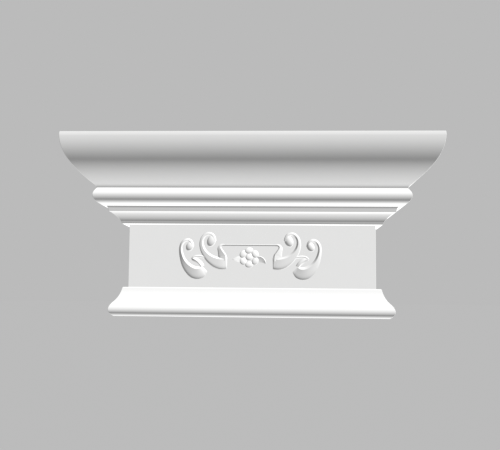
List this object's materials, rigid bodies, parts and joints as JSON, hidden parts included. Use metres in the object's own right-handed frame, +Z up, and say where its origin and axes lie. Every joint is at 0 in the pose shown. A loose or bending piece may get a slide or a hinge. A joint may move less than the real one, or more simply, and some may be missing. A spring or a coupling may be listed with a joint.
{
  "type": "pilaster capital",
  "caption": "Flat-backed moulded capital for a pilaster: wide coved crown, bead, plain frieze with a scroll-leaf relief, and a base moulding.",
  "frame": {"origin": "centre of the flat underside", "axes": "+Z up, -Y out of the front, +Y into the wall, +X to the right seen from the front"},
  "size_m": [0.2954, 0.0837, 0.1418],
  "materials": {
    "cast_white": "matte white primer on a smooth rigid casting"
  },
  "bodies": {
    "root": {"pilaster_capital": "cast_white"}
  },
  "joints": []
}
